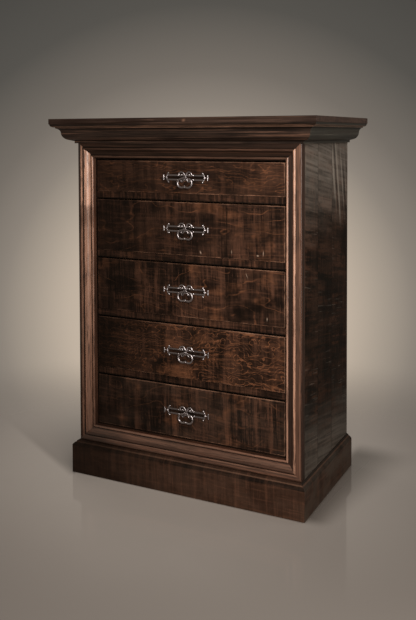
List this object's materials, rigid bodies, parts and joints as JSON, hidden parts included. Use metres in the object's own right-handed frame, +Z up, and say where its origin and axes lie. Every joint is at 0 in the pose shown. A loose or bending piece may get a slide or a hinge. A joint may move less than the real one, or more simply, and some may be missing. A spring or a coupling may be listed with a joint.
{
  "type": "tall chest of drawers",
  "caption": "Tall dark-stained chest of inset drawers in a mitred frame, with a moulded cornice, a plinth and ring pulls on ornamental backplates.",
  "frame": {"origin": "on the floor, in the middle of the overall footprint", "axes": "+Z up, +X to the right as seen from the front, +Y to the back; drawers open towards -Y"},
  "size_m": [1.075, 0.597, 1.372],
  "materials": {
    "sawn_wood": "dark-stained, rough-sawn and rubbed back at the edges",
    "moulded_wood": "dark-stained, planed smooth, satin wax",
    "inner_wood": "planed, unfinished",
    "pull_metal": "antique pewter, dark in the hollows and bright on the high points",
    "steel": "plain"
  },
  "bodies": {
    "case": {"side_panel_left": "sawn_wood", "side_panel_right": "sawn_wood", "stile_left": "sawn_wood", "stile_right": "sawn_wood", "top_rail": "sawn_wood", "bottom_rail": "sawn_wood", "drawer_rails": "sawn_wood", "frame_left": "moulded_wood", "frame_right": "moulded_wood", "frame_top": "moulded_wood", "frame_bottom": "moulded_wood", "frieze_board": "sawn_wood", "base_rail": "sawn_wood", "cornice_front": "moulded_wood", "cornice_left": "moulded_wood", "cornice_right": "moulded_wood", "plinth_front": "sawn_wood", "plinth_left": "sawn_wood", "plinth_right": "sawn_wood", "top_slab": "moulded_wood", "top_cleats": "inner_wood", "cleat_screws": "steel", "back_boards": "inner_wood", "back_rails": "inner_wood", "bottom_board": "inner_wood", "drawer_runners": "inner_wood", "drawer_guides": "inner_wood", "top_kickers": "inner_wood", "drawer_stops": "inner_wood", "corner_blocks": "inner_wood"},
    "drawer_1": {"drawer_1_front": "sawn_wood", "drawer_1_box": "inner_wood", "drawer_1_bottom": "inner_wood", "drawer_1_pull_plate": "pull_metal", "drawer_1_pull_pins": "pull_metal"},
    "ring_1": {"drawer_1_ring": "pull_metal"},
    "drawer_2": {"drawer_2_front": "sawn_wood", "drawer_2_box": "inner_wood", "drawer_2_bottom": "inner_wood", "drawer_2_pull_plate": "pull_metal", "drawer_2_pull_pins": "pull_metal"},
    "ring_2": {"drawer_2_ring": "pull_metal"},
    "drawer_3": {"drawer_3_front": "sawn_wood", "drawer_3_box": "inner_wood", "drawer_3_bottom": "inner_wood", "drawer_3_pull_plate": "pull_metal", "drawer_3_pull_pins": "pull_metal"},
    "ring_3": {"drawer_3_ring": "pull_metal"},
    "drawer_4": {"drawer_4_front": "sawn_wood", "drawer_4_box": "inner_wood", "drawer_4_bottom": "inner_wood", "drawer_4_pull_plate": "pull_metal", "drawer_4_pull_pins": "pull_metal"},
    "ring_4": {"drawer_4_ring": "pull_metal"},
    "drawer_5": {"drawer_5_front": "sawn_wood", "drawer_5_box": "inner_wood", "drawer_5_bottom": "inner_wood", "drawer_5_pull_plate": "pull_metal", "drawer_5_pull_pins": "pull_metal"},
    "ring_5": {"drawer_5_ring": "pull_metal"}
  },
  "joints": [
    {"name": "drawer_1_slide", "type": "slide", "parent": "case", "child": "drawer_1", "axis": [0, -1, 0], "range_m": [0, 0.34]},
    {"name": "ring_1_swing", "type": "hinge", "parent": "drawer_1", "child": "ring_1", "pos_m": [0, -0.201, 1.1555], "axis": [-1, 0, 0], "range_deg": [0, 110]},
    {"name": "drawer_2_slide", "type": "slide", "parent": "case", "child": "drawer_2", "axis": [0, -1, 0], "range_m": [0, 0.34]},
    {"name": "ring_2_swing", "type": "hinge", "parent": "drawer_2", "child": "ring_2", "pos_m": [0, -0.201, 0.967], "axis": [-1, 0, 0], "range_deg": [0, 110]},
    {"name": "drawer_3_slide", "type": "slide", "parent": "case", "child": "drawer_3", "axis": [0, -1, 0], "range_m": [0, 0.34]},
    {"name": "ring_3_swing", "type": "hinge", "parent": "drawer_3", "child": "ring_3", "pos_m": [0, -0.201, 0.74], "axis": [-1, 0, 0], "range_deg": [0, 110]},
    {"name": "drawer_4_slide", "type": "slide", "parent": "case", "child": "drawer_4", "axis": [0, -1, 0], "range_m": [0, 0.34]},
    {"name": "ring_4_swing", "type": "hinge", "parent": "drawer_4", "child": "ring_4", "pos_m": [0, -0.201, 0.513], "axis": [-1, 0, 0], "range_deg": [0, 110]},
    {"name": "drawer_5_slide", "type": "slide", "parent": "case", "child": "drawer_5", "axis": [0, -1, 0], "range_m": [0, 0.34]},
    {"name": "ring_5_swing", "type": "hinge", "parent": "drawer_5", "child": "ring_5", "pos_m": [0, -0.201, 0.28875], "axis": [-1, 0, 0], "range_deg": [0, 110]}
  ]
}
